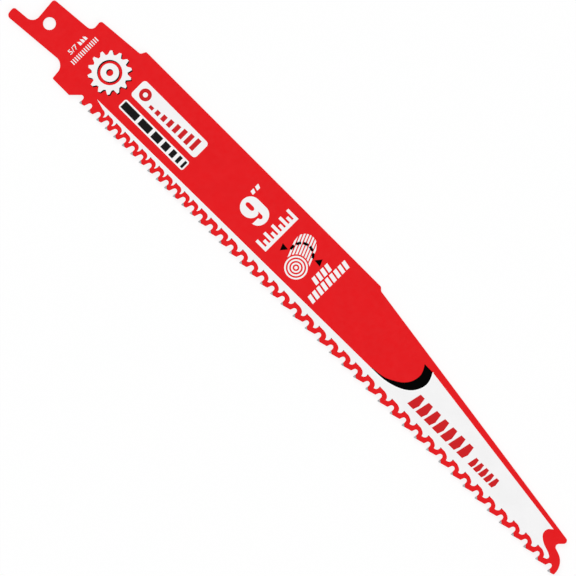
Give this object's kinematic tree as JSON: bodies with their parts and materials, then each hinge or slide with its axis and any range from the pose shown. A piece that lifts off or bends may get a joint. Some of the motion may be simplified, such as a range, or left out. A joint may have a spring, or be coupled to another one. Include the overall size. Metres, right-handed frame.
{
  "type": "reciprocating saw blade",
  "caption": "Flat canted blade for a reciprocating saw: tanged shank with a pin hole, tapered back, hooked nose and carbide-tipped teeth in three pitches.",
  "frame": {"origin": "centre of the pin hole, on the middle plane of the plate", "axes": "+X along the shank to the nose, +Y to the back edge, away from the teeth, +Z out of the printed face"},
  "size_m": [0.2296, 0.0412, 0.0018],
  "materials": {
    "red_coat": "semi-gloss baked coat",
    "white_print": "screen printed ink",
    "black_print": "screen printed ink",
    "carbide": "ground"
  },
  "bodies": {
    "root": {"blade_body": "red_coat", "carbide_tip_01": "carbide", "carbide_tip_02": "carbide", "carbide_tip_03": "carbide", "carbide_tip_04": "carbide", "carbide_tip_05": "carbide", "carbide_tip_06": "carbide", "carbide_tip_07": "carbide", "carbide_tip_08": "carbide", "carbide_tip_09": "carbide", "carbide_tip_10": "carbide", "carbide_tip_11": "carbide", "carbide_tip_12": "carbide", "carbide_tip_13": "carbide", "carbide_tip_14": "carbide", "carbide_tip_15": "carbide", "carbide_tip_16": "carbide", "carbide_tip_17": "carbide", "carbide_tip_18": "carbide", "carbide_tip_19": "carbide", "carbide_tip_20": "carbide", "carbide_tip_21": "carbide", "carbide_tip_22": "carbide", "carbide_tip_23": "carbide", "carbide_tip_24": "carbide", "carbide_tip_25": "carbide", "carbide_tip_26": "carbide", "carbide_tip_27": "carbide", "carbide_tip_28": "carbide", "carbide_tip_29": "carbide", "carbide_tip_30": "carbide", "carbide_tip_31": "carbide", "carbide_tip_32": "carbide", "carbide_tip_33": "carbide", "carbide_tip_34": "carbide", "carbide_tip_35": "carbide", "carbide_tip_36": "carbide", "carbide_tip_37": "carbide", "carbide_tip_38": "carbide", "carbide_tip_39": "carbide", "carbide_tip_40": "carbide", "carbide_tip_41": "carbide", "carbide_tip_42": "carbide", "carbide_tip_43": "carbide", "carbide_tip_44": "carbide", "carbide_tip_45": "carbide"}
  },
  "joints": []
}
